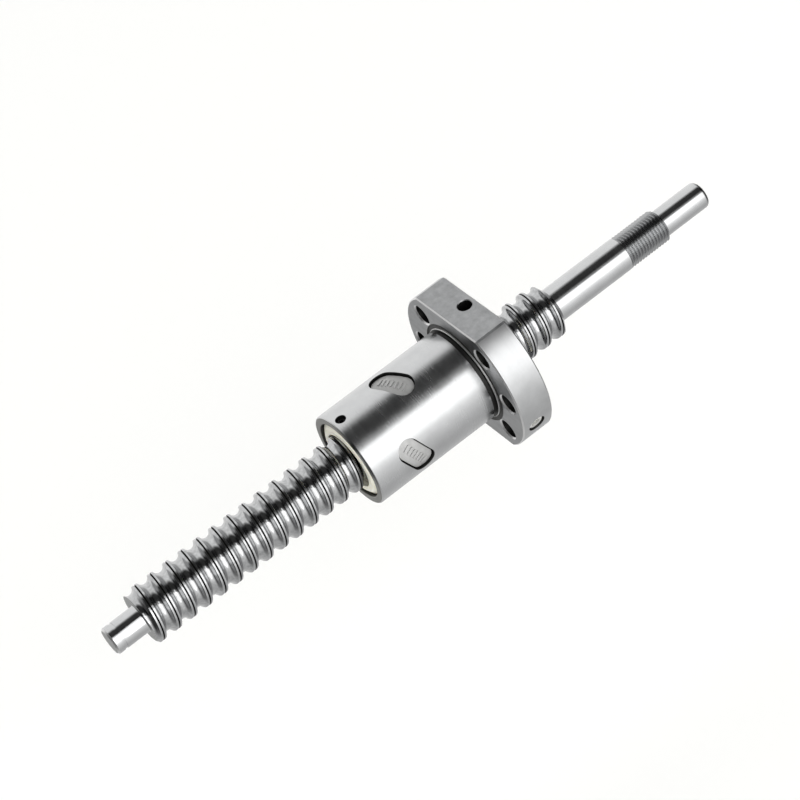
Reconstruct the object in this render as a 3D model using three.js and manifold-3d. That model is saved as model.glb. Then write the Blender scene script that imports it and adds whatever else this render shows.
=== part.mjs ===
import * as THREE from "three";
import { ParametricGeometry } from "three/addons/geometries/ParametricGeometry.js";
import { mergeVertices } from "three/addons/utils/BufferGeometryUtils.js";
import Module from "manifold-3d";

// Left-hand miniature ball screw with a flanged nut. Millimetres, screw axis on X, +Z up.
// Angles round the axis are right-handed about +X and start at +Z, where the flange's first flat is.

// screw shaft
const LEAD = 5;
const SCREW_R = 7.95;
const TIP_X = -101.5;
const SHOULDER_X = -91.5;
const THREAD_END_X = 47.5;
const FIXED_JOURNAL_END_X = 72.5;
const LOCKNUT_THREAD_END_X = 86.5;
const DRIVE_END_X = 101.5;
const SUPPORT_JOURNAL_R = 4;
const FIXED_JOURNAL_R = 5;
const DRIVE_END_R = 4;
const CIRCLIP_X = -98.9;
const CIRCLIP_WIDTH = 0.9;
const CIRCLIP_R = 3.8;
const LOCKNUT_PITCH = 1;
const LOCKNUT_ROOT_R = 4.42;
const LOCKNUT_CREST_R = 4.95;
const LAND_CHAMFER = 0.35;

// ball track
const BALL_R = 1.5875;
const BALL_CIRCLE_R = 8.25;
const GROOVE_PHASE_X = 4.15;
const SCREW_GROOVE_R = 1.735;
const NUT_GROOVE_R = 1.76;
const NUT_BORE_R = 8.4;
const BALLS_PER_CIRCUIT = 16;

// nut
const NUT_R = 14;
const NUT_END_X = -22.8;
const FLANGE_FACE_X = 17.2;
const FLANGE_END_X = 27.2;
const FLANGE_R = 24;
const FLANGE_HALF_FLATS = 20;
const FLANGE_CHAMFER = 0.35;
const UNDERCUT_X = 15.6;
const UNDERCUT_R = 13.2;
const UNDERCUT_RIM_R = 15.6;
const BOLT_CIRCLE_R = 19;
const BOLT_HOLE_R = 2.9;
const BOLT_ANGLES = [45, 90, 135, -45, -90, -135];

// wipers, their screws and the oil port
const WIPER_SEAT_R = 11.75;
const WIPER_R = 11.4;
const WIPER_THICKNESS = 4.4;
const WIPER_RECESS = 0.1;
const WIPER_GAP = 0.3;
const FRONT_SCREW = { x: -20.2, angle: 0, holeR: 1.5, r: 1.3, low: 11.75, high: 13.1 };
const REAR_SCREW = { x: 24, angle: 0, holeR: 2, r: 1.75, low: 11.75, high: 15.8 };
const PORT = { x: 21.8, angle: 112.5, holeR: 2.6, r: 2.35, low: 19.4, high: 23.4, floor: 16 };
const OIL_PASSAGE_R = 0.9;
const OIL_PASSAGE_X = 20.3;

// deflectors: obround inserts that lift the balls over one land and back by one lead
const DEFLECTORS = [
  { x: -9.6, angle: 90 },
  { x: -3.35, angle: 0 },
  { x: 2.9, angle: -90 },
  { x: 9.15, angle: 180 },
];
const DEFLECTOR_LENGTH = 12.4;
const DEFLECTOR_WIDTH = 6;
const DEFLECTOR_TILT = 26.5;
const DEFLECTOR_TOP_R = 13.1;
const POCKET_GAP = 0.4;
const CROSSING_HALF_ANGLE = 25;
const CHANNEL_R = 1.82;

const STEPS_PER_TURN = 16;
const ROUND_SEGMENTS = 48;
const HOLE_SEGMENTS = 16;

const wasm = await Module();
wasm.setup();

const rad = THREE.MathUtils.degToRad;

function toManifold(geometry) {
  const g = geometry.clone();
  g.deleteAttribute("normal");
  g.deleteAttribute("uv");
  const merged = mergeVertices(g, 1e-5);
  const index = merged.index.array;
  const triVerts = [];
  for (let i = 0; i < index.length; i += 3) {
    const [a, b, c] = [index[i], index[i + 1], index[i + 2]];
    if (a !== b && b !== c && c !== a) triVerts.push(a, b, c);
  }
  const vertProperties = new Float32Array(merged.attributes.position.array);
  const mesh = new wasm.Mesh({ numProp: 3, vertProperties, triVerts: new Uint32Array(triVerts) });
  return new wasm.Manifold(mesh);
}

function toGeometry(solid) {
  const { vertProperties, triVerts } = solid.getMesh();
  const geometry = new THREE.BufferGeometry();
  geometry.setAttribute("position", new THREE.BufferAttribute(new Float32Array(vertProperties), 3));
  geometry.setIndex(new THREE.BufferAttribute(new Uint32Array(triVerts), 1));
  geometry.computeVertexNormals();
  return geometry;
}

function pointAt(x, r, angle) {
  return new THREE.Vector3(x, -r * Math.sin(rad(angle)), r * Math.cos(rad(angle)));
}

// solid of revolution about X from [x, r] pairs that start and end on the axis
function turned(profile, segments = ROUND_SEGMENTS) {
  const points = profile.map(([x, r]) => new THREE.Vector2(r, x));
  const geometry = new THREE.LatheGeometry(points, segments);
  geometry.rotateZ(-Math.PI / 2);
  return toManifold(geometry);
}

function rod(x0, x1, r, segments = ROUND_SEGMENTS) {
  return turned([[x0, 0], [x0, r], [x1, r], [x1, 0]], segments);
}

// cylinder whose axis runs outward along the radius at one angle
function radialRod({ x, angle }, r, low, high, segments = HOLE_SEGMENTS) {
  const geometry = new THREE.CylinderGeometry(r, r, high - low, segments);
  geometry.rotateX(Math.PI / 2);
  geometry.translate(0, 0, (high + low) / 2);
  geometry.rotateX(rad(angle));
  geometry.translate(x, 0, 0);
  return toManifold(geometry);
}

// screw-threaded rod: profile gives [x, r] over one pitch, hand is 1 or -1, phase is x at angle 0
function threadedRod({ profile, pitch, hand, phase, x0, x1, steps = STEPS_PER_TURN }) {
  const columns = profile.length;
  const turns = Math.ceil((x1 - x0) / pitch) + 5;
  const first = phase + pitch * Math.floor((x0 - phase) / pitch - 2);
  const surface = (u, v, target) => {
    const step = Math.round(u * turns * steps);
    const column = Math.round(v * columns);
    const [px, pr] = profile[column % columns];
    const x = first + px + (pitch * (column === columns ? step + steps : step)) / steps;
    const clear = x > x0 - 0.6 * pitch && x < x1 + 0.6 * pitch;
    const end = x < (x0 + x1) / 2 ? x0 - 0.6 * pitch : x1 + 0.6 * pitch;
    const angle = (360 * hand * (step % steps)) / steps;
    target.copy(clear ? pointAt(x, pr, angle) : new THREE.Vector3(end, 0, 0));
  };
  const solid = toManifold(new ParametricGeometry(surface, turns * steps, columns));
  return solid.volume() < 0 ? flipped(surface, turns * steps, columns) : solid;
}

function flipped(surface, slices, stacks) {
  const mirrored = (u, v, target) => surface(u, 1 - v, target);
  return toManifold(new ParametricGeometry(mirrored, slices, stacks));
}

// round-bottomed track over one lead, its centre at x = 0: grooveR is the track's own radius,
// landR the radius between turns, scale keeps the facets of an inside thread outside it, and
// chamfer breaks the edges between track and land
function trackProfile(grooveR, landR, { scale = 1, chamfer = 0 } = {}) {
  const side = Math.sign(landR - BALL_CIRCLE_R) || 1;
  const half = grooveR * Math.SQRT1_2;
  const edge = trackEdge(grooveR, landR);
  const shoulderR = BALL_CIRCLE_R + side * half;
  const right = [[half, shoulderR]];
  if (chamfer > 0) {
    const x = edge - ((edge - half) * chamfer) / Math.abs(landR - shoulderR);
    right.push([x, landR + side * chamfer], [x + chamfer, landR]);
  } else {
    right.push([edge, landR]);
  }
  const left = right.map(([x, r]) => [-x, r]).reverse();
  const profile = [...left, [0, BALL_CIRCLE_R + side * grooveR], ...right];
  return profile.map(([x, r]) => [x, r * scale]);
}

// half the width of such a track where it meets landR
function trackEdge(grooveR, landR) {
  const half = grooveR * Math.SQRT1_2;
  return grooveR - ((grooveR - half) * Math.abs(landR - BALL_CIRCLE_R)) / half;
}

function trackRod(profile, x0, x1, steps = STEPS_PER_TURN) {
  return threadedRod({ profile, pitch: LEAD, hand: -1, phase: GROOVE_PHASE_X, x0, x1, steps });
}

function screwShaft() {
  const threadEnvelope = turned([
    [SHOULDER_X, 0],
    [SHOULDER_X, 7.2],
    [SHOULDER_X + 0.75, 8.2],
    [THREAD_END_X - 1.9, 8.2],
    [THREAD_END_X, 5.4],
    [THREAD_END_X, 0],
  ]);
  const profile = trackProfile(SCREW_GROOVE_R, SCREW_R, { chamfer: LAND_CHAMFER });
  const thread = trackRod(profile, SHOULDER_X, THREAD_END_X).intersect(threadEnvelope);
  const core = turned([
    [TIP_X, 0],
    [TIP_X, SUPPORT_JOURNAL_R - 0.5],
    [TIP_X + 0.5, SUPPORT_JOURNAL_R],
    [CIRCLIP_X - CIRCLIP_WIDTH / 2, SUPPORT_JOURNAL_R],
    [CIRCLIP_X - CIRCLIP_WIDTH / 2, CIRCLIP_R],
    [CIRCLIP_X + CIRCLIP_WIDTH / 2, CIRCLIP_R],
    [CIRCLIP_X + CIRCLIP_WIDTH / 2, SUPPORT_JOURNAL_R],
    [SHOULDER_X + 1, SUPPORT_JOURNAL_R],
    [SHOULDER_X + 1, FIXED_JOURNAL_R],
    [FIXED_JOURNAL_END_X, FIXED_JOURNAL_R],
    [FIXED_JOURNAL_END_X + 0.4, LOCKNUT_ROOT_R - 0.5],
    [LOCKNUT_THREAD_END_X - 0.4, LOCKNUT_ROOT_R - 0.5],
    [LOCKNUT_THREAD_END_X, DRIVE_END_R],
    [DRIVE_END_X - 0.8, DRIVE_END_R],
    [DRIVE_END_X, DRIVE_END_R - 0.8],
    [DRIVE_END_X, 0],
  ], 32);
  const locknutEnvelope = turned([
    [FIXED_JOURNAL_END_X - 0.1, 0],
    [FIXED_JOURNAL_END_X - 0.1, FIXED_JOURNAL_R + 0.3],
    [LOCKNUT_THREAD_END_X - 1, FIXED_JOURNAL_R + 0.3],
    [LOCKNUT_THREAD_END_X, DRIVE_END_R + 0.1],
    [LOCKNUT_THREAD_END_X, 0],
  ], 32);
  const locknutThread = threadedRod({
    profile: [[0, LOCKNUT_ROOT_R], [LOCKNUT_PITCH / 2, LOCKNUT_CREST_R]],
    pitch: LOCKNUT_PITCH,
    hand: 1,
    phase: 0,
    x0: FIXED_JOURNAL_END_X,
    x1: LOCKNUT_THREAD_END_X,
    steps: 12,
  }).intersect(locknutEnvelope);
  return core.add(thread).add(locknutThread);
}

// footprint of a deflector, its long side tilted against the track
function obround(length, width) {
  const half = (length - width) / 2;
  const r = width / 2;
  const shape = new THREE.Shape();
  shape.moveTo(-half, -r);
  shape.lineTo(half, -r);
  shape.absarc(half, 0, r, -Math.PI / 2, Math.PI / 2, false);
  shape.lineTo(-half, r);
  shape.absarc(-half, 0, r, Math.PI / 2, (3 * Math.PI) / 2, false);
  return shape;
}

function deflectorPrism({ x, angle }, length, width, low, high) {
  const options = { depth: high - low, bevelEnabled: false, curveSegments: 5 };
  const geometry = new THREE.ExtrudeGeometry(obround(length, width), options);
  geometry.rotateZ(-Math.PI / 2 + rad(DEFLECTOR_TILT));
  geometry.translate(0, 0, low);
  geometry.rotateX(rad(angle));
  geometry.translate(x, 0, 0);
  return toManifold(geometry);
}

// ball-centre path of one circuit: t from 0 to 1 runs once round the closed loop. Over the land
// between two turns the ball rolls round the land's two edges.
function circuitPoint({ x, angle }, t) {
  const turn = 360 * t;
  const side = turn > 180 ? turn - 360 : turn;
  if (Math.abs(side) >= CROSSING_HALF_ANGLE) {
    return pointAt(x + LEAD / 2 - (LEAD * turn) / 360, BALL_CIRCLE_R, angle + turn);
  }
  const offset = (LEAD / 2) * Math.sin((Math.PI * side) / (2 * CROSSING_HALF_ANGLE));
  const edge = trackEdge(SCREW_GROOVE_R, SCREW_R);
  const over = Math.max(0, Math.abs(offset) - (LEAD / 2 - edge));
  const depth = BALL_CIRCLE_R - SCREW_R;
  const lift = Math.sqrt(Math.max(depth ** 2, edge ** 2 + depth ** 2 - over ** 2));
  return pointAt(x + offset - (LEAD * side) / 360, SCREW_R + lift, angle + side);
}

// the ball channel through one deflector, a tube about the ball-centre path
class ChannelPath extends THREE.Curve {
  constructor(deflector) {
    super();
    this.deflector = deflector;
  }

  getPoint(t) {
    const span = 92 / 360;
    return circuitPoint(this.deflector, (1 - span / 2 + span * t) % 1);
  }
}

function channel(deflector) {
  const section = new THREE.Shape();
  section.absarc(0, 0, CHANNEL_R, 0, 2 * Math.PI, false);
  const options = { steps: 14, bevelEnabled: false, curveSegments: 4 };
  options.extrudePath = new ChannelPath(deflector);
  return toManifold(new THREE.ExtrudeGeometry(section, options));
}

function deflector(at) {
  const insert = deflectorPrism(at, DEFLECTOR_LENGTH, DEFLECTOR_WIDTH, 5, 15)
    .intersect(rod(-30, 30, DEFLECTOR_TOP_R))
    .subtract(rod(-30, 30, NUT_BORE_R))
    .subtract(channel(at));
  return insert.decompose().sort((a, b) => b.volume() - a.volume())[0];
}

function ballCentres(at) {
  const samples = 3600;
  const points = Array.from({ length: samples + 1 }, (_, i) => circuitPoint(at, i / samples));
  const along = [0];
  for (let i = 1; i <= samples; i++) {
    along.push(along[i - 1] + points[i].distanceTo(points[i - 1]));
  }
  const gap = along[samples] / BALLS_PER_CIRCUIT;
  return Array.from({ length: BALLS_PER_CIRCUIT }, (_, k) => {
    return points[along.findIndex((a) => a >= (k + 0.5) * gap)];
  });
}

function ballGeometry(centre) {
  const geometry = new THREE.SphereGeometry(BALL_R, 7, 5);
  geometry.translate(centre.x, centre.y, centre.z);
  return geometry;
}

// a circuit of balls joined by thin necks between neighbours
function ballTrain(at) {
  const centres = ballCentres(at);
  let solid = toManifold(ballGeometry(centres[0]));
  centres.slice(1).forEach((centre, i) => {
    const before = centres[i];
    const step = new THREE.Vector3().subVectors(centre, before);
    const neck = new THREE.CylinderGeometry(0.5, 0.5, step.length() - 2, 3);
    const turn = new THREE.Quaternion().setFromUnitVectors(
      new THREE.Vector3(0, 1, 0),
      step.clone().normalize(),
    );
    neck.applyQuaternion(turn);
    neck.translate(...before.clone().add(centre).multiplyScalar(0.5));
    solid = solid.add(toManifold(neck)).add(toManifold(ballGeometry(centre)));
  });
  return solid;
}

function flangeBlank() {
  const c = FLANGE_CHAMFER;
  const round = turned([
    [NUT_END_X, 0],
    [NUT_END_X, NUT_R - 0.5],
    [NUT_END_X + 0.5, NUT_R],
    [UNDERCUT_X, NUT_R],
    [UNDERCUT_X, UNDERCUT_R],
    [FLANGE_FACE_X + 0.5, UNDERCUT_R + 0.2],
    [FLANGE_FACE_X, UNDERCUT_RIM_R],
    [FLANGE_FACE_X, FLANGE_R - c],
    [FLANGE_FACE_X + c, FLANGE_R],
    [FLANGE_END_X - c, FLANGE_R],
    [FLANGE_END_X, FLANGE_R - c],
    [FLANGE_END_X, 0],
  ]);
  const h = FLANGE_HALF_FLATS;
  const side = new THREE.Shape([
    new THREE.Vector2(NUT_END_X - 1, -h + c),
    new THREE.Vector2(FLANGE_FACE_X, -h + c),
    new THREE.Vector2(FLANGE_FACE_X + c, -h),
    new THREE.Vector2(FLANGE_END_X - c, -h),
    new THREE.Vector2(FLANGE_END_X, -h + c),
    new THREE.Vector2(FLANGE_END_X, h - c),
    new THREE.Vector2(FLANGE_END_X - c, h),
    new THREE.Vector2(FLANGE_FACE_X + c, h),
    new THREE.Vector2(FLANGE_FACE_X, h - c),
    new THREE.Vector2(NUT_END_X - 1, h - c),
  ]);
  const slab = new THREE.ExtrudeGeometry(side, { depth: 60, bevelEnabled: false });
  slab.translate(0, 0, -30);
  slab.rotateX(Math.PI / 2);
  return round.intersect(toManifold(slab));
}

function boltHole(angle) {
  const c = 0.3;
  const [x0, x1, r] = [FLANGE_FACE_X, FLANGE_END_X, BOLT_HOLE_R];
  const cutter = turned([
    [x0 - 1, 0],
    [x0 - 1, r + c + 1],
    [x0 + c, r],
    [x1 - c, r],
    [x1 + 1, r + c + 1],
    [x1 + 1, 0],
  ], HOLE_SEGMENTS);
  const at = pointAt(0, BOLT_CIRCLE_R, angle);
  return cutter.translate([0, at.y, at.z]);
}

function nutBody() {
  const grow = 1 / Math.cos(Math.PI / STEPS_PER_TURN);
  const seatDepth = WIPER_THICKNESS + WIPER_RECESS + 0.3;
  const track = trackRod(
    trackProfile(NUT_GROOVE_R, NUT_BORE_R, { scale: grow }),
    NUT_END_X + seatDepth - 1,
    FLANGE_END_X - seatDepth + 1,
  );
  const trackSpan = rod(NUT_END_X + seatDepth - 0.5, FLANGE_END_X - seatDepth + 0.5, 12);
  let solid = flangeBlank().subtract(track.intersect(trackSpan));
  solid = solid.subtract(rod(NUT_END_X - 1, NUT_END_X + seatDepth, WIPER_SEAT_R));
  solid = solid.subtract(rod(FLANGE_END_X - seatDepth, FLANGE_END_X + 1, WIPER_SEAT_R));
  for (const at of DEFLECTORS) {
    const length = DEFLECTOR_LENGTH + 2 * POCKET_GAP;
    const width = DEFLECTOR_WIDTH + 2 * POCKET_GAP;
    solid = solid.subtract(deflectorPrism(at, length, width, 5, 16));
  }
  for (const angle of BOLT_ANGLES) solid = solid.subtract(boltHole(angle));
  solid = solid.subtract(radialRod(FRONT_SCREW, FRONT_SCREW.holeR, 8, 16));
  solid = solid.subtract(radialRod(REAR_SCREW, REAR_SCREW.holeR, 8, 22));
  solid = solid.subtract(radialRod(PORT, PORT.holeR, PORT.floor, 26));
  const passage = { x: OIL_PASSAGE_X, angle: PORT.angle };
  return solid.subtract(radialRod(passage, OIL_PASSAGE_R, 7, PORT.floor + 1, 10));
}

// plastic wiper ring whose bore follows the track; face is the outer side, 1 or -1 along X
function wiper(seatX, face) {
  const outer = seatX + face * WIPER_THICKNESS;
  const [low, high] = [Math.min(seatX, outer), Math.max(seatX, outer)];
  const lowChamfer = face < 0 ? 0.9 : 0.2;
  const highChamfer = face < 0 ? 0.2 : 0.9;
  const blank = turned([
    [low, 0],
    [low, WIPER_R - lowChamfer],
    [low + lowChamfer, WIPER_R],
    [high - highChamfer, WIPER_R],
    [high, WIPER_R - highChamfer],
    [high, 0],
  ]);
  const r = SCREW_GROOVE_R - WIPER_GAP;
  const half = r * Math.SQRT1_2;
  const grow = 1 / Math.cos(Math.PI / STEPS_PER_TURN);
  const boreR = (SCREW_R + WIPER_GAP + 0.1) * grow;
  const ridgeR = (BALL_CIRCLE_R - half) * grow;
  const profile = [[-r, boreR], [-half, ridgeR], [half, ridgeR], [r, boreR]];
  const bore = trackRod(profile, low - 1, high + 1).intersect(rod(low - 0.5, high + 0.5, 10));
  const mouth = rod(outer - 1.2, outer + 1.2, boreR, STEPS_PER_TURN * 2);
  return blank.subtract(bore).subtract(mouth);
}

// headless screw with a hexagon socket, along the radius at one angle
function setScrew({ x, angle, r, low, high }, acrossFlats) {
  const socketFloor = high - (high - low) * 0.45;
  const socket = radialRod({ x, angle }, acrossFlats / Math.sqrt(3), socketFloor, high + 1, 6);
  return radialRod({ x, angle }, r, low, high, 16).subtract(socket);
}

const SHAFT_STEEL = { color: 0xb9bcc0, roughness: 0.24, metalness: 1 };
const NUT_STEEL = { color: 0xa9acaf, roughness: 0.3, metalness: 1 };
const INSERT_STEEL = { color: 0xc4c5c4, roughness: 0.45, metalness: 1 };
const BALL_STEEL = { color: 0xd2d4d6, roughness: 0.12, metalness: 1 };
const BLACK_STEEL = { color: 0x2b2b2c, roughness: 0.5, metalness: 1 };
const ZINC_STEEL = { color: 0xb0b0ac, roughness: 0.4, metalness: 1 };
const IVORY_PLASTIC = { color: 0xe9e4cf, roughness: 0.55, metalness: 0 };

function part(name, geometry, finish) {
  const mesh = new THREE.Mesh(geometry, new THREE.MeshStandardMaterial(finish));
  mesh.name = name;
  return mesh;
}

function buildAssembly() {
  const group = new THREE.Group();
  group.name = "ball_screw_assembly";
  const put = (name, solid, finish) => group.add(part(name, toGeometry(solid), finish));
  const seatDepth = WIPER_THICKNESS + WIPER_RECESS;
  put("screw_shaft", screwShaft(), SHAFT_STEEL);
  put("nut_body", nutBody(), NUT_STEEL);
  DEFLECTORS.forEach((at, i) => put(`deflector_${i + 1}`, deflector(at), INSERT_STEEL));
  put("wiper_front", wiper(NUT_END_X + seatDepth, -1), IVORY_PLASTIC);
  put("wiper_rear", wiper(FLANGE_END_X - seatDepth, 1), IVORY_PLASTIC);
  put("wiper_screw_front", setScrew(FRONT_SCREW, 1.3), BLACK_STEEL);
  put("wiper_screw_rear", setScrew(REAR_SCREW, 2), BLACK_STEEL);
  put("oil_port_plug", setScrew(PORT, 2.5), ZINC_STEEL);
  DEFLECTORS.slice(0, 3).forEach((at, i) => {
    ballCentres(at).forEach((centre, k) => {
      group.add(part(`ball_${i + 1}_${String(k + 1).padStart(2, "0")}`, ballGeometry(centre), BALL_STEEL));
    });
  });
  put("ball_train_4", ballTrain(DEFLECTORS[3]), BALL_STEEL);
  return group;
}

export default buildAssembly();
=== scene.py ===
import math

import bmesh
import bpy
import numpy as np
from mathutils import Matrix, Vector


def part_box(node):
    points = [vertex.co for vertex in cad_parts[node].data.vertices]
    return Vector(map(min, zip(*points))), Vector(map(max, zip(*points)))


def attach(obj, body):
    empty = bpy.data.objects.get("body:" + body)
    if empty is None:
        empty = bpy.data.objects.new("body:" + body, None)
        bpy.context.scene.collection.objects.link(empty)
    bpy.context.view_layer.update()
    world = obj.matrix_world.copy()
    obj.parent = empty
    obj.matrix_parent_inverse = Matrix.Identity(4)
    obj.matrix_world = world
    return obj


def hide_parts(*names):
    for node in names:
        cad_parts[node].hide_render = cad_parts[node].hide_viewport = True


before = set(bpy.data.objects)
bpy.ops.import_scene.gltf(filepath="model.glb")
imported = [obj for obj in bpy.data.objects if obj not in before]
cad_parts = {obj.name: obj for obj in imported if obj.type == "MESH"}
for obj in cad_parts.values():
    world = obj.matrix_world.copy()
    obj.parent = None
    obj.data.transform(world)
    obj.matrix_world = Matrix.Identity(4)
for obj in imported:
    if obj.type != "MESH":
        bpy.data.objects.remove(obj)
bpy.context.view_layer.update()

# Left-hand ball screw with a flanged nut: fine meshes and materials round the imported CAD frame.
# Sizes are millimetres until mesh_object() turns them into metres. Angles round the screw axis are
# right-handed about +X and start at +Z, where the flange's first flat is.

MM = 0.001


def box_mm(node):
    low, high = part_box(node)
    return np.round(np.array(low) / MM, 2), np.round(np.array(high) / MM, 2)


def middle_of(node):
    """x and angle of the middle of a node's box."""
    low, high = box_mm(node)
    x, y, z = (low + high) / 2
    return round(x, 2), round(math.degrees(math.atan2(-y, z)), 1)


SCREW_LOW, SCREW_HIGH = box_mm("screw_shaft")
NUT_LOW, NUT_HIGH = box_mm("nut_body")
TIP_X, DRIVE_END_X = SCREW_LOW[0], SCREW_HIGH[0]
NUT_END_X, FLANGE_END_X = NUT_LOW[0], NUT_HIGH[0]
FLANGE_R, FLANGE_HALF_FLATS = NUT_HIGH[1], NUT_HIGH[2]

# screw shaft
LEAD = 5.0
SCREW_R = 7.95
SHOULDER_X = TIP_X + 10
THREAD_END_X = DRIVE_END_X - 54
FIXED_JOURNAL_END_X = DRIVE_END_X - 29
LOCKNUT_THREAD_END_X = DRIVE_END_X - 15
SUPPORT_JOURNAL_R = 4.0
FIXED_JOURNAL_R = 5.0
DRIVE_END_R = 4.0
TIP_CHAMFER = 0.5
SHOULDER_FILLET = 0.25
THREAD_CLEAR_R = 8.2
THREAD_START_CHAMFER = 0.75
THREAD_START_R = 7.2
THREAD_RUNOUT = 1.9
THREAD_RUNOUT_R = 5.4
CIRCLIP_X = TIP_X + 2.6
CIRCLIP_WIDTH = 0.9
CIRCLIP_R = 3.8
LOCKNUT_PITCH = 1.0
LOCKNUT_ROOT_R = 4.42
LOCKNUT_CREST_R = 4.95
LOCKNUT_CORE_R = LOCKNUT_ROOT_R - 0.5
LAND_CHAMFER = 0.2
SEAM_HALF_WIDTH = 0.24
SEAM_DEPTH = 0.42

# ball track
BALL_R = 1.5875
BALL_CIRCLE_R = 8.25
GROOVE_PHASE_X = 4.15
SCREW_GROOVE_R = 1.7
NUT_GROOVE_R = 1.76
GOTHIC_OFFSET = 0.05
NUT_BORE_R = 8.4

# rounded edges, as (distance from the end face, fall from the full radius)
DRIVE_END_EDGE = [(1.1, 0), (0.7, 0.08), (0.35, 0.28), (0.1, 0.55), (0, 0.8)]
NUT_END_EDGE = [(0, 0.5), (0.08, 0.32), (0.32, 0.08), (0.5, 0)]

# nut and flange
NUT_R = 14.0
FLANGE_FACE_X = FLANGE_END_X - 10
FLANGE_CHAMFER = 0.35
UNDERCUT_X = FLANGE_FACE_X - 1.6
UNDERCUT_R = 13.2
UNDERCUT_RIM_R = 15.7
SPIGOT_R = 14.35
SPIGOT_LENGTH = 0.35
RING_DEPTH = 0.3
BROKEN_EDGE = 0.1
BOLT_CIRCLE_R = 19.0
BOLT_HOLE_R = 2.9
BOLT_CHAMFER = 0.4
BOLT_ANGLES = (45, 90, 135, -45, -90, -135)

# wipers, their screws and the oil port
WIPER_SEAT_R = 11.75
WIPER_SEAT_DEPTH = 4.8
WIPER_R = 11.4
WIPER_BORE_R = 8.35
WIPER_MOUTH = 1.2
WIPER_RIDGE_R = 7.35
WIPER_CONE_DEPTH = 1.0
WIPER_CONE_R = 9.9
WIPER_GAP = 0.3
WIPER_BACK_CHAMFER = 0.2
WIPER_SEAT_EDGE = 0.15
SET_SCREW_CHAMFER = 0.25
SOCKET_SHARE = 0.45
FRONT_SCREW = {"at": middle_of("wiper_screw_front"), "hole_r": 1.5, "r": 1.3, "low": 11.75, "high": 13.1}
REAR_SCREW = {"at": middle_of("wiper_screw_rear"), "hole_r": 2.0, "r": 1.75, "low": 11.75, "high": 15.8}
PORT = {"at": middle_of("oil_port_plug"), "hole_r": 2.6, "r": 2.35, "low": 19.4, "high": 23.4}
PORT_FLOOR_R = 16.0
OIL_PASSAGE = {"x": FLANGE_END_X - 6.9, "r": 0.9}

# deflectors
DEFLECTORS = [middle_of(f"deflector_{i}") for i in (1, 2, 3, 4)]
DEFLECTOR_LENGTH = 12.4
DEFLECTOR_WIDTH = 6.0
DEFLECTOR_TILT = 26.5
DEFLECTOR_TOP_R = 13.1
POCKET_GAP = 0.4
CROSSING_HALF_ANGLE = 25
CHANNEL_R = 1.82
CHANNEL_HALF_ANGLE = 46
STUD_COUNT = 7
STUD_PITCH = 1.25
STUD_LENGTH = 2.4
STUD_WIDTH = 0.7
STUD_HEIGHT = 0.24

# cutting tools reach from inside the wall to outside it, and past both ends of the nut
TOOL_LOW_R = 5
TOOL_HIGH_R = 16
TOOL_ENDS = (-30, 30)

# fineness of the meshes
ROUND_STEPS = 192
THREAD_STEPS = 96
LOCKNUT_STEPS = 72
HOLE_STEPS = 64
CHANNEL_RINGS = 33
CHANNEL_STEPS = 24


# ---------------------------------------------------------------- mesh tools

def around(x, r, angle):
    """Points at distance r from the screw axis."""
    a = np.radians(angle)
    x, y, z = np.broadcast_arrays(x, -r * np.sin(a), r * np.cos(a))
    return np.stack([x, y, z], axis=-1)


def circle(x, r, steps=ROUND_STEPS):
    angles = np.arange(steps) * 360 / steps if r > 0 else np.zeros(1)
    return around(x, r, angles)


def mesh_object(name, vertices, faces):
    mesh = bpy.data.meshes.new(name)
    mesh.from_pydata((np.asarray(vertices) * MM).tolist(), [], faces)
    bm = bmesh.new()
    bm.from_mesh(mesh)
    bmesh.ops.delete(bm, geom=[v for v in bm.verts if not v.link_faces], context="VERTS")
    bmesh.ops.recalc_face_normals(bm, faces=bm.faces)
    bm.to_mesh(mesh)
    bm.free()
    made = bpy.data.objects.new(name, mesh)
    bpy.context.scene.collection.objects.link(made)
    return made


def lofted(name, rings, closed=False):
    """Skin over rings of points. A ring of one point is a tip; open ends are capped."""
    starts = np.cumsum([0] + [len(ring) for ring in rings])
    pairs = [(i, i + 1) for i in range(len(rings) - 1)]
    if closed:
        pairs.append((len(rings) - 1, 0))
    faces = []
    for a, b in pairs:
        na, nb = len(rings[a]), len(rings[b])
        for j in range(max(na, nb)):
            k = j + 1
            corners = [starts[a] + j % na, starts[a] + k % na, starts[b] + k % nb, starts[b] + j % nb]
            faces.append(list(dict.fromkeys(int(c) for c in corners)))
    if not closed:
        for end in (0, len(rings) - 1):
            if len(rings[end]) > 1:
                faces.append([int(starts[end]) + j for j in range(len(rings[end]))])
    return mesh_object(name, np.concatenate(rings), faces)


def turned(name, profile, steps=ROUND_STEPS, closed=False):
    """Solid of revolution about X from (x, r) pairs."""
    return lofted(name, [circle(x, r, steps) for x, r in profile], closed)


def rod(name, x0, x1, r, steps=ROUND_STEPS):
    return turned(name, [(x0, r), (x1, r)], steps)


def boolean(target, tool, operation="DIFFERENCE"):
    """Cuts, joins or intersects target with tool, which is used up."""
    modifier = target.modifiers.new(operation, "BOOLEAN")
    modifier.operation = operation
    modifier.solver = "MANIFOLD"
    modifier.object = tool
    depsgraph = bpy.context.evaluated_depsgraph_get()
    before = target.data
    target.data = bpy.data.meshes.new_from_object(target.evaluated_get(depsgraph))
    target.modifiers.clear()
    bpy.data.meshes.remove(before)
    bpy.data.meshes.remove(tool.data)
    return target


def placed(obj, matrix):
    """Moves the vertices themselves, so that the object stays at the origin."""
    obj.data.transform(matrix)
    return obj


def radially(obj, x, angle):
    """Turns something built along +X so that it points outward at one place on the nut."""
    stand = Matrix.Rotation(-math.pi / 2, 4, "Y")
    turn = Matrix.Rotation(math.radians(angle), 4, "X")
    return placed(obj, Matrix.Translation((x * MM, 0, 0)) @ turn @ stand)


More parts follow.
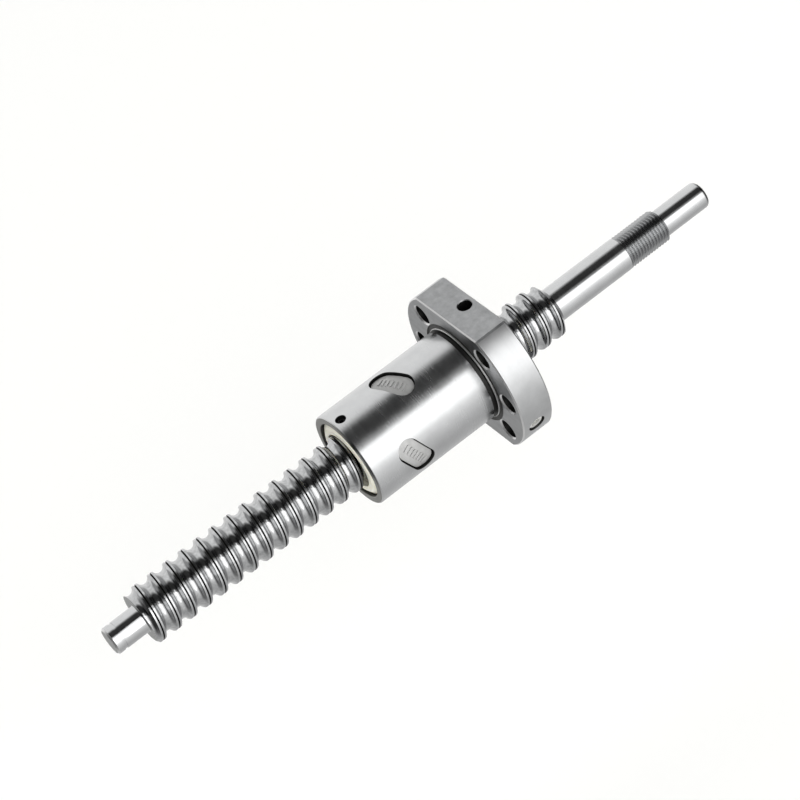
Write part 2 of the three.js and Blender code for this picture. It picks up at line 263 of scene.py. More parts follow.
def smoothed(obj, sharp_degrees=32):
    for polygon in obj.data.polygons:
        polygon.use_smooth = True
    obj.data.set_sharp_from_angle(angle=math.radians(sharp_degrees))
    return obj


def finished(obj, name, body, materials, choose=None, sharp_degrees=32):
    """Names a piece, gives it its materials and hangs it on its body in place of its CAD node."""
    obj.name = obj.data.name = f"{name}_fine"
    obj.data.materials.clear()
    for material in materials:
        obj.data.materials.append(material)
    if choose is not None:
        for polygon in obj.data.polygons:
            polygon.material_index = choose(polygon)
    smoothed(obj, sharp_degrees)
    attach(obj, body)
    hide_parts(name)
    return obj


# ---------------------------------------------------------------- screw thread and ball track

def threaded_rod(name, profile, pitch, hand, phase, x0, x1, steps=THREAD_STEPS):
    """Rod with a screw thread: profile is (x, r) over one pitch, hand is 1 or -1, and phase is the
    place of the profile's x = 0 at angle 0. It runs past x0 and x1, to be trimmed."""
    turns = math.ceil((x1 - x0) / pitch) + 5
    first = phase + pitch * math.floor((x0 - phase) / pitch - 2)
    step = np.arange(turns * steps + 1)[:, None]
    along, radius = np.array(profile).T
    x = first + along + pitch * step / steps
    points = around(x, radius + 0 * x, 360 * hand * (step % steps) / steps + 0 * x).reshape(-1, 3)
    index = np.arange(len(points)).reshape(x.shape)
    margin = 0.6 * pitch
    index[x < x0 - margin] = len(points)
    index[x > x1 + margin] = len(points) + 1
    tips = [[x0 - margin, 0, 0], [x1 + margin, 0, 0]]
    wide = np.concatenate([index[:-steps], index[steps:, :1]], axis=1)
    quads = np.stack([wide[:-1, :-1], wide[1:, :-1], wide[1:, 1:], wide[:-1, 1:]], axis=-1)
    faces = [list(dict.fromkeys(quad)) for quad in quads.reshape(-1, 4).tolist()]
    return mesh_object(name, np.concatenate([points, tips]), [f for f in faces if len(f) > 2])


def track_profile(groove_r, land_r, inward, chamfer=0.0, arc_steps=9):
    """Gothic-arch ball track over one lead, its middle at x = 0. Inward tracks are the screw's.
    Chamfer breaks the edges between track and land, with a slight round where it meets the land."""
    side = -1 if inward else 1
    past_centre = max(0.0, side * (land_r - BALL_CIRCLE_R) + chamfer)
    last = math.acos(past_centre / groove_r)
    first = math.asin(GOTHIC_OFFSET / groove_r)
    half = []
    for angle in np.linspace(first, last, arc_steps):
        x = groove_r * math.sin(angle) - GOTHIC_OFFSET
        half.append((x, BALL_CIRCLE_R + side * groove_r * math.cos(angle)))
    if chamfer > 0:
        corner_x = half[-1][0]
        half.append((corner_x + 0.8 * chamfer, land_r + side * 0.2 * chamfer))
        half.append((corner_x + 1.1 * chamfer, land_r))
    return [(-x, r) for x, r in reversed(half)] + half[1:]


def track_rod(name, profile, x0, x1):
    return threaded_rod(name, profile, LEAD, -1, GROOVE_PHASE_X, x0, x1)


def circuit_point(at, side):
    """Ball centre in one circuit, side degrees from the middle of its deflector (-180 to 180)."""
    x, angle = at
    turn = side % 360
    if abs(side) >= CROSSING_HALF_ANGLE:
        return around(x + LEAD / 2 - LEAD * turn / 360, BALL_CIRCLE_R, angle + turn)
    offset = LEAD / 2 * math.sin(math.pi * side / (2 * CROSSING_HALF_ANGLE))
    depth = BALL_CIRCLE_R - SCREW_R
    track_edge = math.sqrt(SCREW_GROOVE_R ** 2 - depth ** 2)
    over = max(0.0, abs(offset) - (LEAD / 2 - track_edge))
    lift = math.sqrt(max(depth ** 2, track_edge ** 2 + depth ** 2 - over ** 2))
    return around(x + offset - LEAD * side / 360, SCREW_R + lift, angle + side)


# ---------------------------------------------------------------- materials

# how much slower the tool marks change along their lay than across it
TURNED_LAY_SLOWNESS = 0.0006
FLAT_LAY_SLOWNESS = 0.03


def node(tree, kind, inputs=None, **settings):
    """Adds a shader node; an input that is a socket is linked, anything else is its value."""
    made = tree.nodes.new("ShaderNode" + kind)
    for key, value in settings.items():
        setattr(made, key, value)
    for key, value in (inputs or {}).items():
        if isinstance(value, bpy.types.NodeSocket):
            tree.links.new(value, made.inputs[key])
        else:
            made.inputs[key].default_value = value
    return made


def new_material(name):
    material = bpy.data.materials.new(name)
    material.use_nodes = True
    return material, material.node_tree, material.node_tree.nodes["Principled BSDF"]


def turned_lay(tree):
    """Coordinates in which a noise becomes the fine rings that a lathe or grinder leaves: x, the
    distance from the screw axis and, much slower, the angle round it."""
    place = node(tree, "TexCoord").outputs["Object"]
    parts = node(tree, "SeparateXYZ", {0: place})
    flat = node(tree, "CombineXYZ", {"Y": parts.outputs["Y"], "Z": parts.outputs["Z"]})
    radius = node(tree, "VectorMath", {0: flat.outputs[0]}, operation="LENGTH").outputs["Value"]
    angle = node(tree, "Math", {0: parts.outputs["Y"], 1: parts.outputs["Z"]}, operation="ARCTAN2")
    slow = node(tree, "Math", {0: angle.outputs[0], 1: TURNED_LAY_SLOWNESS}, operation="MULTIPLY")
    lay = {"X": parts.outputs["X"], "Y": radius, "Z": slow.outputs[0]}
    return node(tree, "CombineXYZ", lay).outputs[0]


def flat_lay(tree):
    """Coordinates in which a noise becomes the straight marks of a surface grinder, along Y."""
    place = node(tree, "TexCoord").outputs["Object"]
    stretch = (1, FLAT_LAY_SLOWNESS, 1)
    return node(tree, "VectorMath", {0: place, 1: stretch}, operation="MULTIPLY").outputs[0]


def noise(tree, vector, size_mm, detail=3.0, roughness=0.6):
    """Noise whose grains are about size_mm across."""
    inputs = {"Vector": vector, "Scale": 1 / (size_mm * MM), "Detail": detail, "Roughness": roughness}
    return node(tree, "TexNoise", inputs).outputs["Fac"]


def between(tree, factor, low, high, from_low=0.3, from_high=0.7):
    """Value between low and high, as factor goes from from_low to from_high."""
    inputs = {"Value": factor, "From Min": from_low, "From Max": from_high, "To Min": low, "To Max": high}
    return node(tree, "MapRange", inputs).outputs["Result"]


def tint(tree, factor, first, second):
    """Colour between first and second; a Mix node's colours are its sockets 6, 7 and, out, 2."""
    mix = node(tree, "Mix", {0: factor, 6: (*first, 1), 7: (*second, 1)}, data_type="RGBA")
    return mix.outputs[2]


def bumped(tree, height, depth_um, normal=None):
    """Surface relief of about depth_um micrometres."""
    inputs = {"Height": height, "Distance": depth_um * 1e-6, "Strength": 1.0}
    if normal is not None:
        inputs["Normal"] = normal
    return node(tree, "Bump", inputs).outputs["Normal"]


def steel(name, colour, roughness, lay=turned_lay, line_mm=0.25, line_um=1.0, spread=0.05,
          stain=0.9, stain_mm=6.0, grain_mm=0.5, grain_um=0.0):
    """Machined steel: fine tool marks, patchy polish and faint stains."""
    material, tree, bsdf = new_material(name)
    place = node(tree, "TexCoord").outputs["Object"]
    marks = noise(tree, lay(tree), line_mm, 4.0)
    patches = noise(tree, place, stain_mm, 5.0)
    darker = tuple(stain * c for c in colour)
    tree.links.new(tint(tree, between(tree, patches, 0, 1), darker, colour), bsdf.inputs["Base Color"])
    rough_marks = between(tree, marks, roughness - spread, roughness + spread)
    rough_patches = between(tree, patches, -spread * 0.6, spread * 0.6)
    total = node(tree, "Math", {0: rough_marks, 1: rough_patches}, operation="ADD")
    tree.links.new(total.outputs[0], bsdf.inputs["Roughness"])
    relief = bumped(tree, marks, line_um)
    if grain_um:
        relief = bumped(tree, noise(tree, place, grain_mm, 6.0), grain_um, relief)
    tree.links.new(relief, bsdf.inputs["Normal"])
    bsdf.inputs["Metallic"].default_value = 1.0
    return material


def plastic(name, colour, shade, roughness):
    """Moulded plastic with a faint mottle and a fine skin texture."""
    material, tree, bsdf = new_material(name)
    place = node(tree, "TexCoord").outputs["Object"]
    mottle = noise(tree, place, 3.0, 4.0)
    skin = noise(tree, place, 0.25, 3.0)
    tree.links.new(tint(tree, between(tree, mottle, 0, 1), shade, colour), bsdf.inputs["Base Color"])
    tree.links.new(between(tree, skin, roughness - 0.08, roughness + 0.08), bsdf.inputs["Roughness"])
    tree.links.new(bumped(tree, skin, 6.0), bsdf.inputs["Normal"])
    bsdf.inputs["Subsurface Weight"].default_value = 0.15
    bsdf.inputs["Subsurface Radius"].default_value = (0.001, 0.0008, 0.0005)
    return material


THREAD_STEEL = steel("rolled_thread_steel", (0.48, 0.485, 0.49), 0.12, line_mm=0.35, line_um=1.2,
                     stain=0.66, stain_mm=1.2)
JOURNAL_STEEL = steel("ground_journal_steel", (0.50, 0.505, 0.51), 0.14, line_mm=0.3, line_um=0.3)
# locknut thread steel: its turned marks and roughness are real, its darker colour than the journals is
# painted shade for the dark flanks
LOCKNUT_SHADE_STEEL = steel("turned_thread_steel_painted_shade", (0.36, 0.365, 0.37), 0.16, line_mm=0.2, line_um=0.8)
BARREL_STEEL = steel("ground_barrel_steel", (0.50, 0.505, 0.51), 0.23, line_mm=0.35, line_um=0.25)
# lighter steel for broken edges and chamfers: painted highlight, a bright line along each edge
EDGE_HIGHLIGHT_STEEL = steel("edge_steel_painted_highlight", (0.72, 0.72, 0.72), 0.42, line_mm=0.4, line_um=0.5)
FACED_STEEL = steel("faced_end_steel", (0.27, 0.275, 0.27), 0.34, line_mm=0.3, line_um=1.5, stain=0.75)
FLANGE_STEEL = steel("milled_flange_steel", (0.34, 0.345, 0.35), 0.38, lay=flat_lay, line_mm=0.5,
                     line_um=3.0, stain=0.7, stain_mm=2.5, grain_um=2.5)
RIM_STEEL = steel("turned_rim_steel", (0.50, 0.505, 0.51), 0.34, line_mm=0.4, line_um=1.5, stain=0.85)
# near-black steel for bores, pockets, seats, the undercut and the thread's seam: painted shade in these
# recesses
RECESS_SHADE_STEEL = steel("bore_steel_painted_shade", (0.06, 0.06, 0.058), 0.5, line_mm=0.4, line_um=4.0, stain=0.6)
END_STEEL = steel("turned_end_steel", (0.20, 0.20, 0.185), 0.36, line_mm=0.3, line_um=2.0, stain=0.75)
INSERT_STEEL = steel("sintered_insert_steel", (0.58, 0.58, 0.575), 0.72, line_mm=0.8, line_um=1.0,
                     stain=0.85, stain_mm=2.0, grain_mm=0.25, grain_um=6.0)
BALL_STEEL = steel("ball_bearing_steel", (0.58, 0.585, 0.59), 0.08, line_mm=1.0, line_um=0.1, spread=0.02)
BLACK_STEEL = steel("blackened_screw_steel", (0.03, 0.03, 0.031), 0.45, line_mm=0.3, line_um=3.0)
ZINC_STEEL = steel("plated_plug_steel", (0.88, 0.88, 0.86), 0.5, line_mm=0.3, line_um=3.0)
IVORY_PLASTIC = plastic("ivory_wiper_plastic", (0.92, 0.90, 0.79), (0.87, 0.84, 0.70), 0.45)


# ---------------------------------------------------------------- screw

def screw_shaft():
    envelope = turned("envelope", [
        (SHOULDER_X, THREAD_START_R),
        (SHOULDER_X + THREAD_START_CHAMFER, THREAD_CLEAR_R),
        (THREAD_END_X - THREAD_RUNOUT, THREAD_CLEAR_R),
        (THREAD_END_X, THREAD_RUNOUT_R),
    ])
    profile = track_profile(SCREW_GROOVE_R, SCREW_R, inward=True, chamfer=LAND_CHAMFER)
    middle = LEAD / 2
    profile += [
        (middle - SEAM_HALF_WIDTH, SCREW_R),
        (middle, SCREW_R - SEAM_DEPTH),
        (middle + SEAM_HALF_WIDTH, SCREW_R),
    ]
    thread = boolean(track_rod("thread", profile, SHOULDER_X, THREAD_END_X), envelope, "INTERSECT")
    half = CIRCLIP_WIDTH / 2
    fillet_r = SUPPORT_JOURNAL_R + SHOULDER_FILLET
    core = turned("core", [
        (TIP_X, SUPPORT_JOURNAL_R - TIP_CHAMFER),
        (TIP_X + TIP_CHAMFER, SUPPORT_JOURNAL_R),
        (CIRCLIP_X - half, SUPPORT_JOURNAL_R),
        (CIRCLIP_X - half, CIRCLIP_R),
        (CIRCLIP_X + half, CIRCLIP_R),
        (CIRCLIP_X + half, SUPPORT_JOURNAL_R),
        (SHOULDER_X - SHOULDER_FILLET, SUPPORT_JOURNAL_R),
        (SHOULDER_X - 0.08, SUPPORT_JOURNAL_R + 0.07),
        (SHOULDER_X + 0.1, fillet_r),
        (SHOULDER_X + 1, fillet_r),
        (SHOULDER_X + 1, FIXED_JOURNAL_R),
        (FIXED_JOURNAL_END_X - 0.15, FIXED_JOURNAL_R),
        (FIXED_JOURNAL_END_X + 0.4, LOCKNUT_CORE_R),
        (LOCKNUT_THREAD_END_X - 0.4, LOCKNUT_CORE_R),
        (LOCKNUT_THREAD_END_X, DRIVE_END_R),
        *[(DRIVE_END_X - back, DRIVE_END_R - fall) for back, fall in DRIVE_END_EDGE],
    ])
    return boolean(boolean(core, thread, "UNION"), locknut_thread(), "UNION")


def locknut_thread():
    envelope = turned("locknut_envelope", [
        (FIXED_JOURNAL_END_X - 0.1, FIXED_JOURNAL_R - 0.05),
        (LOCKNUT_THREAD_END_X - 1, FIXED_JOURNAL_R + 0.3),
        (LOCKNUT_THREAD_END_X, DRIVE_END_R + 0.1),
    ])
    crest, root = 0.03 * LOCKNUT_PITCH, 0.46 * LOCKNUT_PITCH
    profile = [
        (-crest, LOCKNUT_CREST_R),
        (crest, LOCKNUT_CREST_R),
        (root, LOCKNUT_ROOT_R),
        (LOCKNUT_PITCH - root, LOCKNUT_ROOT_R),
    ]
    span = (FIXED_JOURNAL_END_X, LOCKNUT_THREAD_END_X)
    thread = threaded_rod("locknut", profile, LOCKNUT_PITCH, 1, 0.5, *span, steps=LOCKNUT_STEPS)
    return boolean(thread, envelope, "INTERSECT")


def screw_finish(polygon):
    """0 rolled thread, 1 journals, 2 locknut thread, darker as painted shade, 3 faced ends, 4 broken edges,
    lighter as painted highlight, 5 seam, near black as painted shade.
    """
    x, y, z = polygon.center / MM
    if abs(polygon.normal.x) > 0.9 and min(abs(x - end) for end in (TIP_X, SHOULDER_X, DRIVE_END_X)) < 0.3:
        return 3
    # broken edges near the ends get the lighter steel: painted highlight
    if min(x - TIP_X, DRIVE_END_X - x) < 1 and abs(polygon.normal.x) > 0.5:
        return 4
    if SHOULDER_X + 0.01 < x < THREAD_END_X - 0.01:
        turn = math.atan2(-y, z) / (2 * math.pi)
        from_land = (x - GROOVE_PHASE_X + LEAD * turn) % LEAD - LEAD / 2
        # the seam groove gets the near-black steel: painted shade
        if abs(from_land) < SEAM_HALF_WIDTH and math.hypot(y, z) > SCREW_R - SEAM_DEPTH - 0.1:
            return 5
        return 0
    # locknut thread gets the darker steel: painted shade
    if FIXED_JOURNAL_END_X - 0.1 < x < LOCKNUT_THREAD_END_X:
        return 2
    return 1


finished(screw_shaft(), "screw_shaft", "screw",
         [THREAD_STEEL, JOURNAL_STEEL, LOCKNUT_SHADE_STEEL, FACED_STEEL, EDGE_HIGHLIGHT_STEEL, RECESS_SHADE_STEEL],
         screw_finish)


# ---------------------------------------------------------------- nut body

def flange_ring(x, radius, half_flats=None):
    """Ring of points with corners where the flange's flats meet its rim. Without half_flats the
    ring is a circle with the same number of points."""
    flat_steps, rim_steps = 40, 68
    across, full = (FLANGE_HALF_FLATS, FLANGE_R) if half_flats is None else (half_flats, radius)
    corner = math.degrees(math.acos(across / full))
    points = []
    for turn in (0, 180):
        for angle in np.linspace(-corner, corner, flat_steps, endpoint=False):
            reach = radius if half_flats is None else half_flats / math.cos(math.radians(angle))
            points.append(around(x, reach, turn + angle))
        for angle in np.linspace(corner, 180 - corner, rim_steps, endpoint=False):
            points.append(around(x, radius, turn + angle))
    return np.array(points)


def nut_blank():
    c, h = FLANGE_CHAMFER, FLANGE_HALF_FLATS
    front_seat, rear_seat = NUT_END_X + WIPER_SEAT_DEPTH, FLANGE_END_X - WIPER_SEAT_DEPTH
    edge = WIPER_SEAT_EDGE
    spigot_x, ring_floor_x = FLANGE_FACE_X - SPIGOT_LENGTH, FLANGE_FACE_X + RING_DEPTH
    sections = [
        (front_seat, NUT_BORE_R),
        (front_seat, WIPER_SEAT_R),
        (NUT_END_X + edge, WIPER_SEAT_R),
        (NUT_END_X, WIPER_SEAT_R + edge),
        *[(NUT_END_X + back, NUT_R - fall) for back, fall in NUT_END_EDGE],
        (UNDERCUT_X - BROKEN_EDGE, NUT_R),
        (UNDERCUT_X, NUT_R - BROKEN_EDGE),
        (UNDERCUT_X, UNDERCUT_R),
        (spigot_x - 0.05, UNDERCUT_R),
        (spigot_x, SPIGOT_R - BROKEN_EDGE),
        (spigot_x + BROKEN_EDGE, SPIGOT_R),
        (FLANGE_FACE_X + BROKEN_EDGE, SPIGOT_R),
        (ring_floor_x, SPIGOT_R + 0.2),
        (ring_floor_x, UNDERCUT_RIM_R - 0.4),
        (FLANGE_FACE_X, UNDERCUT_RIM_R),
        (FLANGE_FACE_X, FLANGE_R - c, h - c),
        (FLANGE_FACE_X + c, FLANGE_R, h),
        (FLANGE_END_X - c, FLANGE_R, h),
        (FLANGE_END_X, FLANGE_R - c, h - c),
        (FLANGE_END_X, WIPER_SEAT_R + edge),
        (FLANGE_END_X - edge, WIPER_SEAT_R),
        (rear_seat, WIPER_SEAT_R),
        (rear_seat, NUT_BORE_R),
    ]
    return lofted("nut_blank", [flange_ring(*section) for section in sections], closed=True)


def obround(length, width, steps=28):
    """Outline with round ends, its long side along X."""
    half, r = (length - width) / 2, width / 2
    turn = np.radians(np.linspace(-90, 90, steps))
    right = np.stack([half + r * np.cos(turn), r * np.sin(turn)], axis=1)
    return np.concatenate([right, -right])


def obround_block(length, width, low, high):
    outline = obround(length, width)
    return lofted("block", [np.column_stack([outline, np.full(len(outline), z)]) for z in (low, high)])


def deflector_axes(at):
    """Turns a deflector's own axes, X along the insert and Z outward, to its place on the nut."""
    x, angle = at
    tilt = Matrix.Rotation(math.radians(DEFLECTOR_TILT - 90), 4, "Z")
    turn = Matrix.Rotation(math.radians(angle), 4, "X")
    return Matrix.Translation((x * MM, 0, 0)) @ turn @ tilt


def bolt_hole(angle):
    c, r = BOLT_CHAMFER, BOLT_HOLE_R
    tool = turned("bolt_hole", [
        (FLANGE_FACE_X - 1, r + c + 1),
        (FLANGE_FACE_X + c, r),
        (FLANGE_END_X - c, r),
        (FLANGE_END_X + 1, r + c + 1),
    ], HOLE_STEPS)
    _, y, z = around(0, BOLT_CIRCLE_R, angle) * MM
    return placed(tool, Matrix.Translation((0, y, z)))


def screw_hole(hole, floor_r, outer_r, chamfer=0.2):
    """Hole along the radius, chamfered where it breaks the surface at outer_r."""
    r = hole["hole_r"]
    tool = turned("screw_hole", [
        (floor_r, r),
        (outer_r - chamfer, r),
        (outer_r + 1, r + chamfer + 1),
    ], HOLE_STEPS)
    return radially(tool, *hole["at"])


def nut_body():
    body = nut_blank()
    inset = WIPER_SEAT_DEPTH - 0.5
    x0, x1 = NUT_END_X + inset, FLANGE_END_X - inset
    profile = track_profile(NUT_GROOVE_R, NUT_BORE_R, inward=False)
    boolean(body, boolean(track_rod("nut_track", profile, x0, x1), rod("span", x0, x1, 12), "INTERSECT"))
    for at in DEFLECTORS:
        length, width = DEFLECTOR_LENGTH + 2 * POCKET_GAP, DEFLECTOR_WIDTH + 2 * POCKET_GAP
        pocket = obround_block(length, width, TOOL_LOW_R, TOOL_HIGH_R)
        boolean(body, placed(pocket, deflector_axes(at)))
    for angle in BOLT_ANGLES:
        boolean(body, bolt_hole(angle))
    inside_bore = NUT_BORE_R - 0.4
    boolean(body, screw_hole(FRONT_SCREW, inside_bore, NUT_R, 0.05))
    boolean(body, screw_hole(REAR_SCREW, inside_bore, FLANGE_HALF_FLATS))
    boolean(body, screw_hole(PORT, PORT_FLOOR_R, FLANGE_R, 0.1))
    passage = rod("passage", inside_bore - 1, PORT_FLOOR_R + 1, OIL_PASSAGE["r"], 32)
    return boolean(body, radially(passage, OIL_PASSAGE["x"], PORT["at"][1]))


def nut_finish(polygon):
    """0 ground barrel, 1 milled flange, 2 turned rim, 3 bores, pockets and undercut, painted near black as
    shade, 4 turned end face, 5 broken edges, painted lighter as highlight."""
    x, y, z = polygon.center / MM
    r = math.hypot(y, z)
    normal = polygon.normal
    outward = (normal.y * y + normal.z * z) / max(r, 0.1)
    if x < UNDERCUT_X + 0.01:
        if abs(normal.x) < 0.8 and outward > 0.2 and r > NUT_R - 0.6:
            return 0
        # wiper seat walls and bores at the front get the near-black steel: painted shade
        return 4 if x < NUT_END_X + 0.2 and r > WIPER_SEAT_R else 3
    # undercut and ring: near black as painted shade, the spigot's edge lighter as painted highlight
    if r < UNDERCUT_RIM_R and x < FLANGE_FACE_X + RING_DEPTH + 0.01:
        spigot = r > SPIGOT_R - BROKEN_EDGE - 0.02 and x < FLANGE_FACE_X + BROKEN_EDGE + 0.01
        if outward > 0.3 and spigot:
            return 5
        return 3
    from_face = min(x - FLANGE_FACE_X, FLANGE_END_X - x)
    # flange chamfers get the lighter steel: painted highlight
    if from_face < 0.5 and 0.6 < abs(normal.x) < 0.8:
        return 5
    if abs(normal.x) > 0.8 and r > WIPER_SEAT_R and from_face < 0.5:
        return 1
    if abs(z) > FLANGE_HALF_FLATS - FLANGE_CHAMFER and abs(normal.z) > 0.6:
        return 1
    # holes and other inner walls get the near-black steel: painted shade
    return 2 if outward > 0.5 and r > FLANGE_R - FLANGE_CHAMFER - 0.1 else 3


finished(nut_body(), "nut_body", "nut",
         [BARREL_STEEL, FLANGE_STEEL, RIM_STEEL, RECESS_SHADE_STEEL, END_STEEL, EDGE_HIGHLIGHT_STEEL],
         nut_finish, sharp_degrees=10)


# ---------------------------------------------------------------- deflectors

def channel(at):
    """Tube round the ball path through a deflector."""
    sides = np.linspace(-CHANNEL_HALF_ANGLE, CHANNEL_HALF_ANGLE, CHANNEL_RINGS)
    centres = np.array([circuit_point(at, side) for side in sides])
    ahead = np.gradient(centres, axis=0)
    turn = np.radians(np.arange(CHANNEL_STEPS) * 360 / CHANNEL_STEPS)[:, None]
    rings = []
    for centre, direction in zip(centres, ahead):
        direction = direction / np.linalg.norm(direction)
        out = np.array([0, centre[1], centre[2]])
        across = np.cross(direction, out)
        across /= np.linalg.norm(across)
        up = np.cross(across, direction)
        rings.append(centre + CHANNEL_R * (np.cos(turn) * up + np.sin(turn) * across))
    return lofted("channel", rings)


def relief(at):
    """Row of plain raised studs along the insert."""
    studs = None
    for number in range(STUD_COUNT):
        shift = (number - (STUD_COUNT - 1) / 2) * STUD_PITCH
        across = Matrix.Translation((shift * MM, 0, 0)) @ Matrix.Rotation(math.pi / 2, 4, "Z")
        stud = obround_block(STUD_LENGTH, STUD_WIDTH, DEFLECTOR_TOP_R - 1, DEFLECTOR_TOP_R + 2)
        placed(stud, deflector_axes(at) @ across)
        studs = stud if studs is None else boolean(studs, stud, "UNION")
    return boolean(studs, rod("stud_top", *TOOL_ENDS, DEFLECTOR_TOP_R + STUD_HEIGHT), "INTERSECT")


def deflector(at):
    insert = obround_block(DEFLECTOR_LENGTH, DEFLECTOR_WIDTH, TOOL_LOW_R, TOOL_HIGH_R)
    placed(insert, deflector_axes(at))
    boolean(insert, rod("top", *TOOL_ENDS, DEFLECTOR_TOP_R), "INTERSECT")
    boolean(insert, relief(at), "UNION")
    boolean(insert, rod("bore", *TOOL_ENDS, NUT_BORE_R))
    return boolean(insert, channel(at))


for number, place_on_nut in enumerate(DEFLECTORS, 1):
    finished(deflector(place_on_nut), f"deflector_{number}", "nut", [INSERT_STEEL])


# ---------------------------------------------------------------- wipers, screws and plug

def wiper(name, face):
    """Plastic ring whose bore follows the track; face is its outer side, -1 or 1 along X."""
    low, high = (corner[0] for corner in box_mm(name))
    outer = low if face < 0 else high
    cone = (WIPER_CONE_DEPTH, WIPER_CONE_R)
    back = (WIPER_BACK_CHAMFER, WIPER_R - WIPER_BACK_CHAMFER)
    (low_depth, low_r), (high_depth, high_r) = (cone, back) if face < 0 else (back, cone)
    ring = turned("ring", [
        (low, low_r),
        (low + low_depth, WIPER_R),
        (high - high_depth, WIPER_R),
        (high, high_r),
    ])
    profile = track_profile(SCREW_GROOVE_R - WIPER_GAP, WIPER_BORE_R, inward=True)
    profile = [(x, max(r, WIPER_RIDGE_R)) for x, r in profile]
    bore = track_rod("wiper_bore", profile, low - 1, high + 1)
    boolean(ring, boolean(bore, rod("bore_span", low - 0.5, high + 0.5, 10), "INTERSECT"))
    return boolean(ring, rod("mouth", outer - WIPER_MOUTH, outer + WIPER_MOUTH, WIPER_BORE_R + 0.001))


def set_screw(screw, across_flats):
    """Headless screw with a hexagon socket, pointing outward."""
    low, high, r, c = screw["low"], screw["high"], screw["r"], SET_SCREW_CHAMFER
    blank = turned("set_screw", [(low, r - c), (low + c, r), (high - c, r), (high, r - c)], HOLE_STEPS)
    socket_floor = high - SOCKET_SHARE * (high - low)
    boolean(blank, rod("socket", socket_floor, high + 1, across_flats / math.sqrt(3), 6))
    return radially(blank, *screw["at"])


finished(wiper("wiper_front", -1), "wiper_front", "nut", [IVORY_PLASTIC])
finished(wiper("wiper_rear", 1), "wiper_rear", "nut", [IVORY_PLASTIC])
finished(set_screw(FRONT_SCREW, 1.3), "wiper_screw_front", "nut", [BLACK_STEEL])
finished(set_screw(REAR_SCREW, 2.0), "wiper_screw_rear", "nut", [BLACK_STEEL])
finished(set_screw(PORT, 2.5), "oil_port_plug", "nut", [ZINC_STEEL])


# ---------------------------------------------------------------- balls

def ball(centre, rings=12, steps=20):
    polar = np.linspace(-90, 90, rings + 1)
    sections = [circle(BALL_R * math.sin(a), BALL_R * math.cos(a), steps)
                for a in np.radians(polar[1:-1])]
    made = lofted("ball", [circle(-BALL_R, 0), *sections, circle(BALL_R, 0)])
    return placed(made, Matrix.Translation(np.array(centre) * MM))


def ball_centre(name):
    low, high = box_mm(name)
    return (low + high) / 2


def balls_of(circuit):
    return sorted(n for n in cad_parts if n.startswith(f"ball_{circuit}_"))


for circuit in (1, 2, 3):
    for ball_node in balls_of(circuit):
        finished(ball(ball_centre(ball_node)), ball_node, "nut", [BALL_STEEL])

# the fourth circuit is the third one turned and moved to its own deflector
(third_x, third_angle), (fourth_x, fourth_angle) = DEFLECTORS[2:]
to_fourth = Matrix.Translation(((fourth_x - third_x) * MM, 0, 0))
to_fourth = to_fourth @ Matrix.Rotation(math.radians(fourth_angle - third_angle), 4, "X")
train = None
for ball_node in balls_of(3):
    one = placed(ball(ball_centre(ball_node)), to_fourth)
    train = one if train is None else boolean(train, one, "UNION")
finished(train, "ball_train_4", "ball_circuit", [BALL_STEEL])


# ---------------------------------------------------------------- stage, light and camera

# metres from here on
FLOOR_Z = -0.12
FLOOR_REACH = 8.0


def floor():
    """Pale paper sweep well below the part, which hangs in its bearings."""
    r = FLOOR_REACH / MM
    corners = [(-r, -r, FLOOR_Z / MM), (r, -r, FLOOR_Z / MM), (r, r, FLOOR_Z / MM), (-r, r, FLOOR_Z / MM)]
    made = mesh_object("floor", corners, [[0, 1, 2, 3]])
    material, tree, bsdf = new_material("pale_paper")
    place = node(tree, "TexCoord").outputs["Object"]
    fibre = noise(tree, place, 3.0, 5.0)
    mottle = between(tree, fibre, 0, 1)
    tree.links.new(tint(tree, mottle, (0.945, 0.945, 0.93), (0.95, 0.95, 0.935)), bsdf.inputs["Base Color"])
    bsdf.inputs["Roughness"].default_value = 0.9
    bsdf.inputs["Specular IOR Level"].default_value = 0.1
    made.data.materials.append(material)
    made.visible_glossy = False


# brightness of the studio round the screw axis: degrees from straight up, towards the camera's side
STUDIO = [
    (-180, 0.72), (-150, 0.72), (-128, 0.85), (-105, 1.20), (-60, 1.32), (-27, 1.25), (-15, 0.32),
    (-9, 0.06), (26, 0.04), (32, 0.28), (41, 0.5), (46, 2.4), (84, 2.3), (93, 1.6), (112, 1.15),
    (135, 0.85), (155, 0.7), (180, 0.72),
]
BACKDROP = 1.05

# reflections towards either end of the screw fade to END_SHADE between these parts of a unit vector
END_SHADE = 0.08
END_SHADE_FROM = 0.52
END_SHADE_TO = 0.86


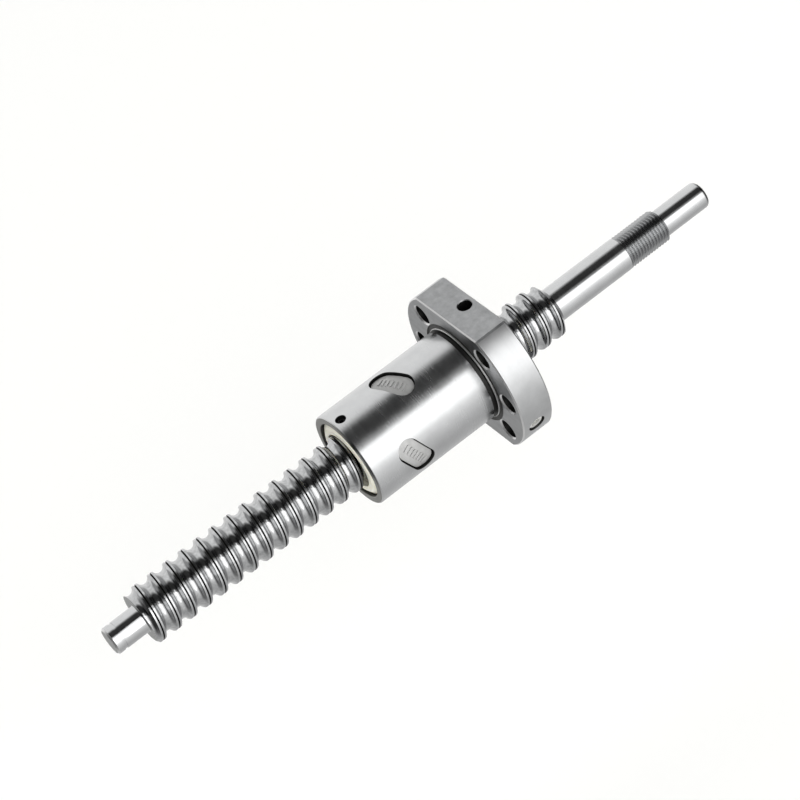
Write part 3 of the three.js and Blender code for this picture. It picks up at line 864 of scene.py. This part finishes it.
def studio():
    """Soft boxes round the part, as bands of light that lie along the screw."""
    world = bpy.data.worlds.new("studio")
    bpy.context.scene.world = world
    world.use_nodes = True
    tree = world.node_tree
    background = tree.nodes["Background"]
    direction = node(tree, "TexCoord").outputs["Generated"]
    parts = node(tree, "SeparateXYZ", {0: direction})
    toward = node(tree, "Math", {0: parts.outputs["Y"], 1: -1.0}, operation="MULTIPLY")
    angle = node(tree, "Math", {0: toward.outputs[0], 1: parts.outputs["Z"]}, operation="ARCTAN2")
    bands = node(tree, "FloatCurve", {"Value": between(tree, angle.outputs[0], 0, 1, -math.pi, math.pi)})
    curve = bands.mapping.curves[0]
    peak = max(level for _, level in STUDIO)
    for degrees, level in STUDIO[1:-1]:
        curve.points.new((degrees + 180) / 360, level / peak)
    curve.points[0].location = (0, STUDIO[0][1] / peak)
    curve.points[-1].location = (1, STUDIO[-1][1] / peak)
    for point in curve.points:
        point.handle_type = "VECTOR"
    bands.mapping.update()
    sideways = node(tree, "Math", {0: parts.outputs["X"]}, operation="ABSOLUTE")
    shade = between(tree, sideways.outputs[0], 1.0, END_SHADE, END_SHADE_FROM, END_SHADE_TO)
    level = node(tree, "Math", {0: bands.outputs[0], 1: shade}, operation="MULTIPLY")
    level = node(tree, "Math", {0: level.outputs[0], 1: peak}, operation="MULTIPLY")
    seen = node(tree, "LightPath").outputs["Is Camera Ray"]
    strength = node(tree, "Mix", {0: seen, 2: level.outputs[0], 3: BACKDROP}, data_type="FLOAT")
    tree.links.new(strength.outputs[0], background.inputs["Strength"])
    background.inputs["Color"].default_value = (1, 1, 0.995, 1)


def soft_light(name, location, size, power):
    """Area light that faces the part."""
    light = bpy.data.lights.new(name, "AREA")
    light.shape = "RECTANGLE"
    light.size, light.size_y = size
    light.energy = power
    made = bpy.data.objects.new(name, light)
    made.location = location
    made.rotation_euler = (-Vector(location)).to_track_quat("-Z", "X").to_euler()
    bpy.context.scene.collection.objects.link(made)
    return made


# camera: where it stands, in metres, and how it is turned
CAMERA_AT = (-0.204654, -0.523480, 0.530055)
CAMERA_AZIMUTH = -21.079
CAMERA_ELEVATION = 43.024
CAMERA_ROLL = -22.394
CAMERA_LENS = 131.59


def camera():
    azimuth, elevation, roll = (math.radians(a) for a in (CAMERA_AZIMUTH, CAMERA_ELEVATION, CAMERA_ROLL))
    back = np.array([
        math.sin(azimuth) * math.cos(elevation),
        -math.cos(azimuth) * math.cos(elevation),
        math.sin(elevation),
    ])
    level = np.cross([0, 0, 1], back)
    level /= np.linalg.norm(level)
    upright = np.cross(back, level)
    right = math.cos(roll) * level + math.sin(roll) * upright
    up = -math.sin(roll) * level + math.cos(roll) * upright
    data = bpy.data.cameras.new("camera")
    data.lens = CAMERA_LENS
    data.sensor_width = 36
    data.clip_start = 0.01
    data.clip_end = 50
    made = bpy.data.objects.new("camera", data)
    rotation = Matrix(np.column_stack([right, up, back]).tolist()).to_4x4()
    made.matrix_world = Matrix.Translation(CAMERA_AT) @ rotation
    bpy.context.scene.collection.objects.link(made)
    bpy.context.scene.camera = made


floor()
studio()
soft_light("front_soft_box", (-0.2, -1.1, 0.55), (1.6, 0.6), 4.0)
soft_light("overhead_soft_box", (0, 0, 1.5), (3, 3), 17.5).visible_glossy = False
camera()
bpy.context.scene.view_settings.view_transform = "Standard"
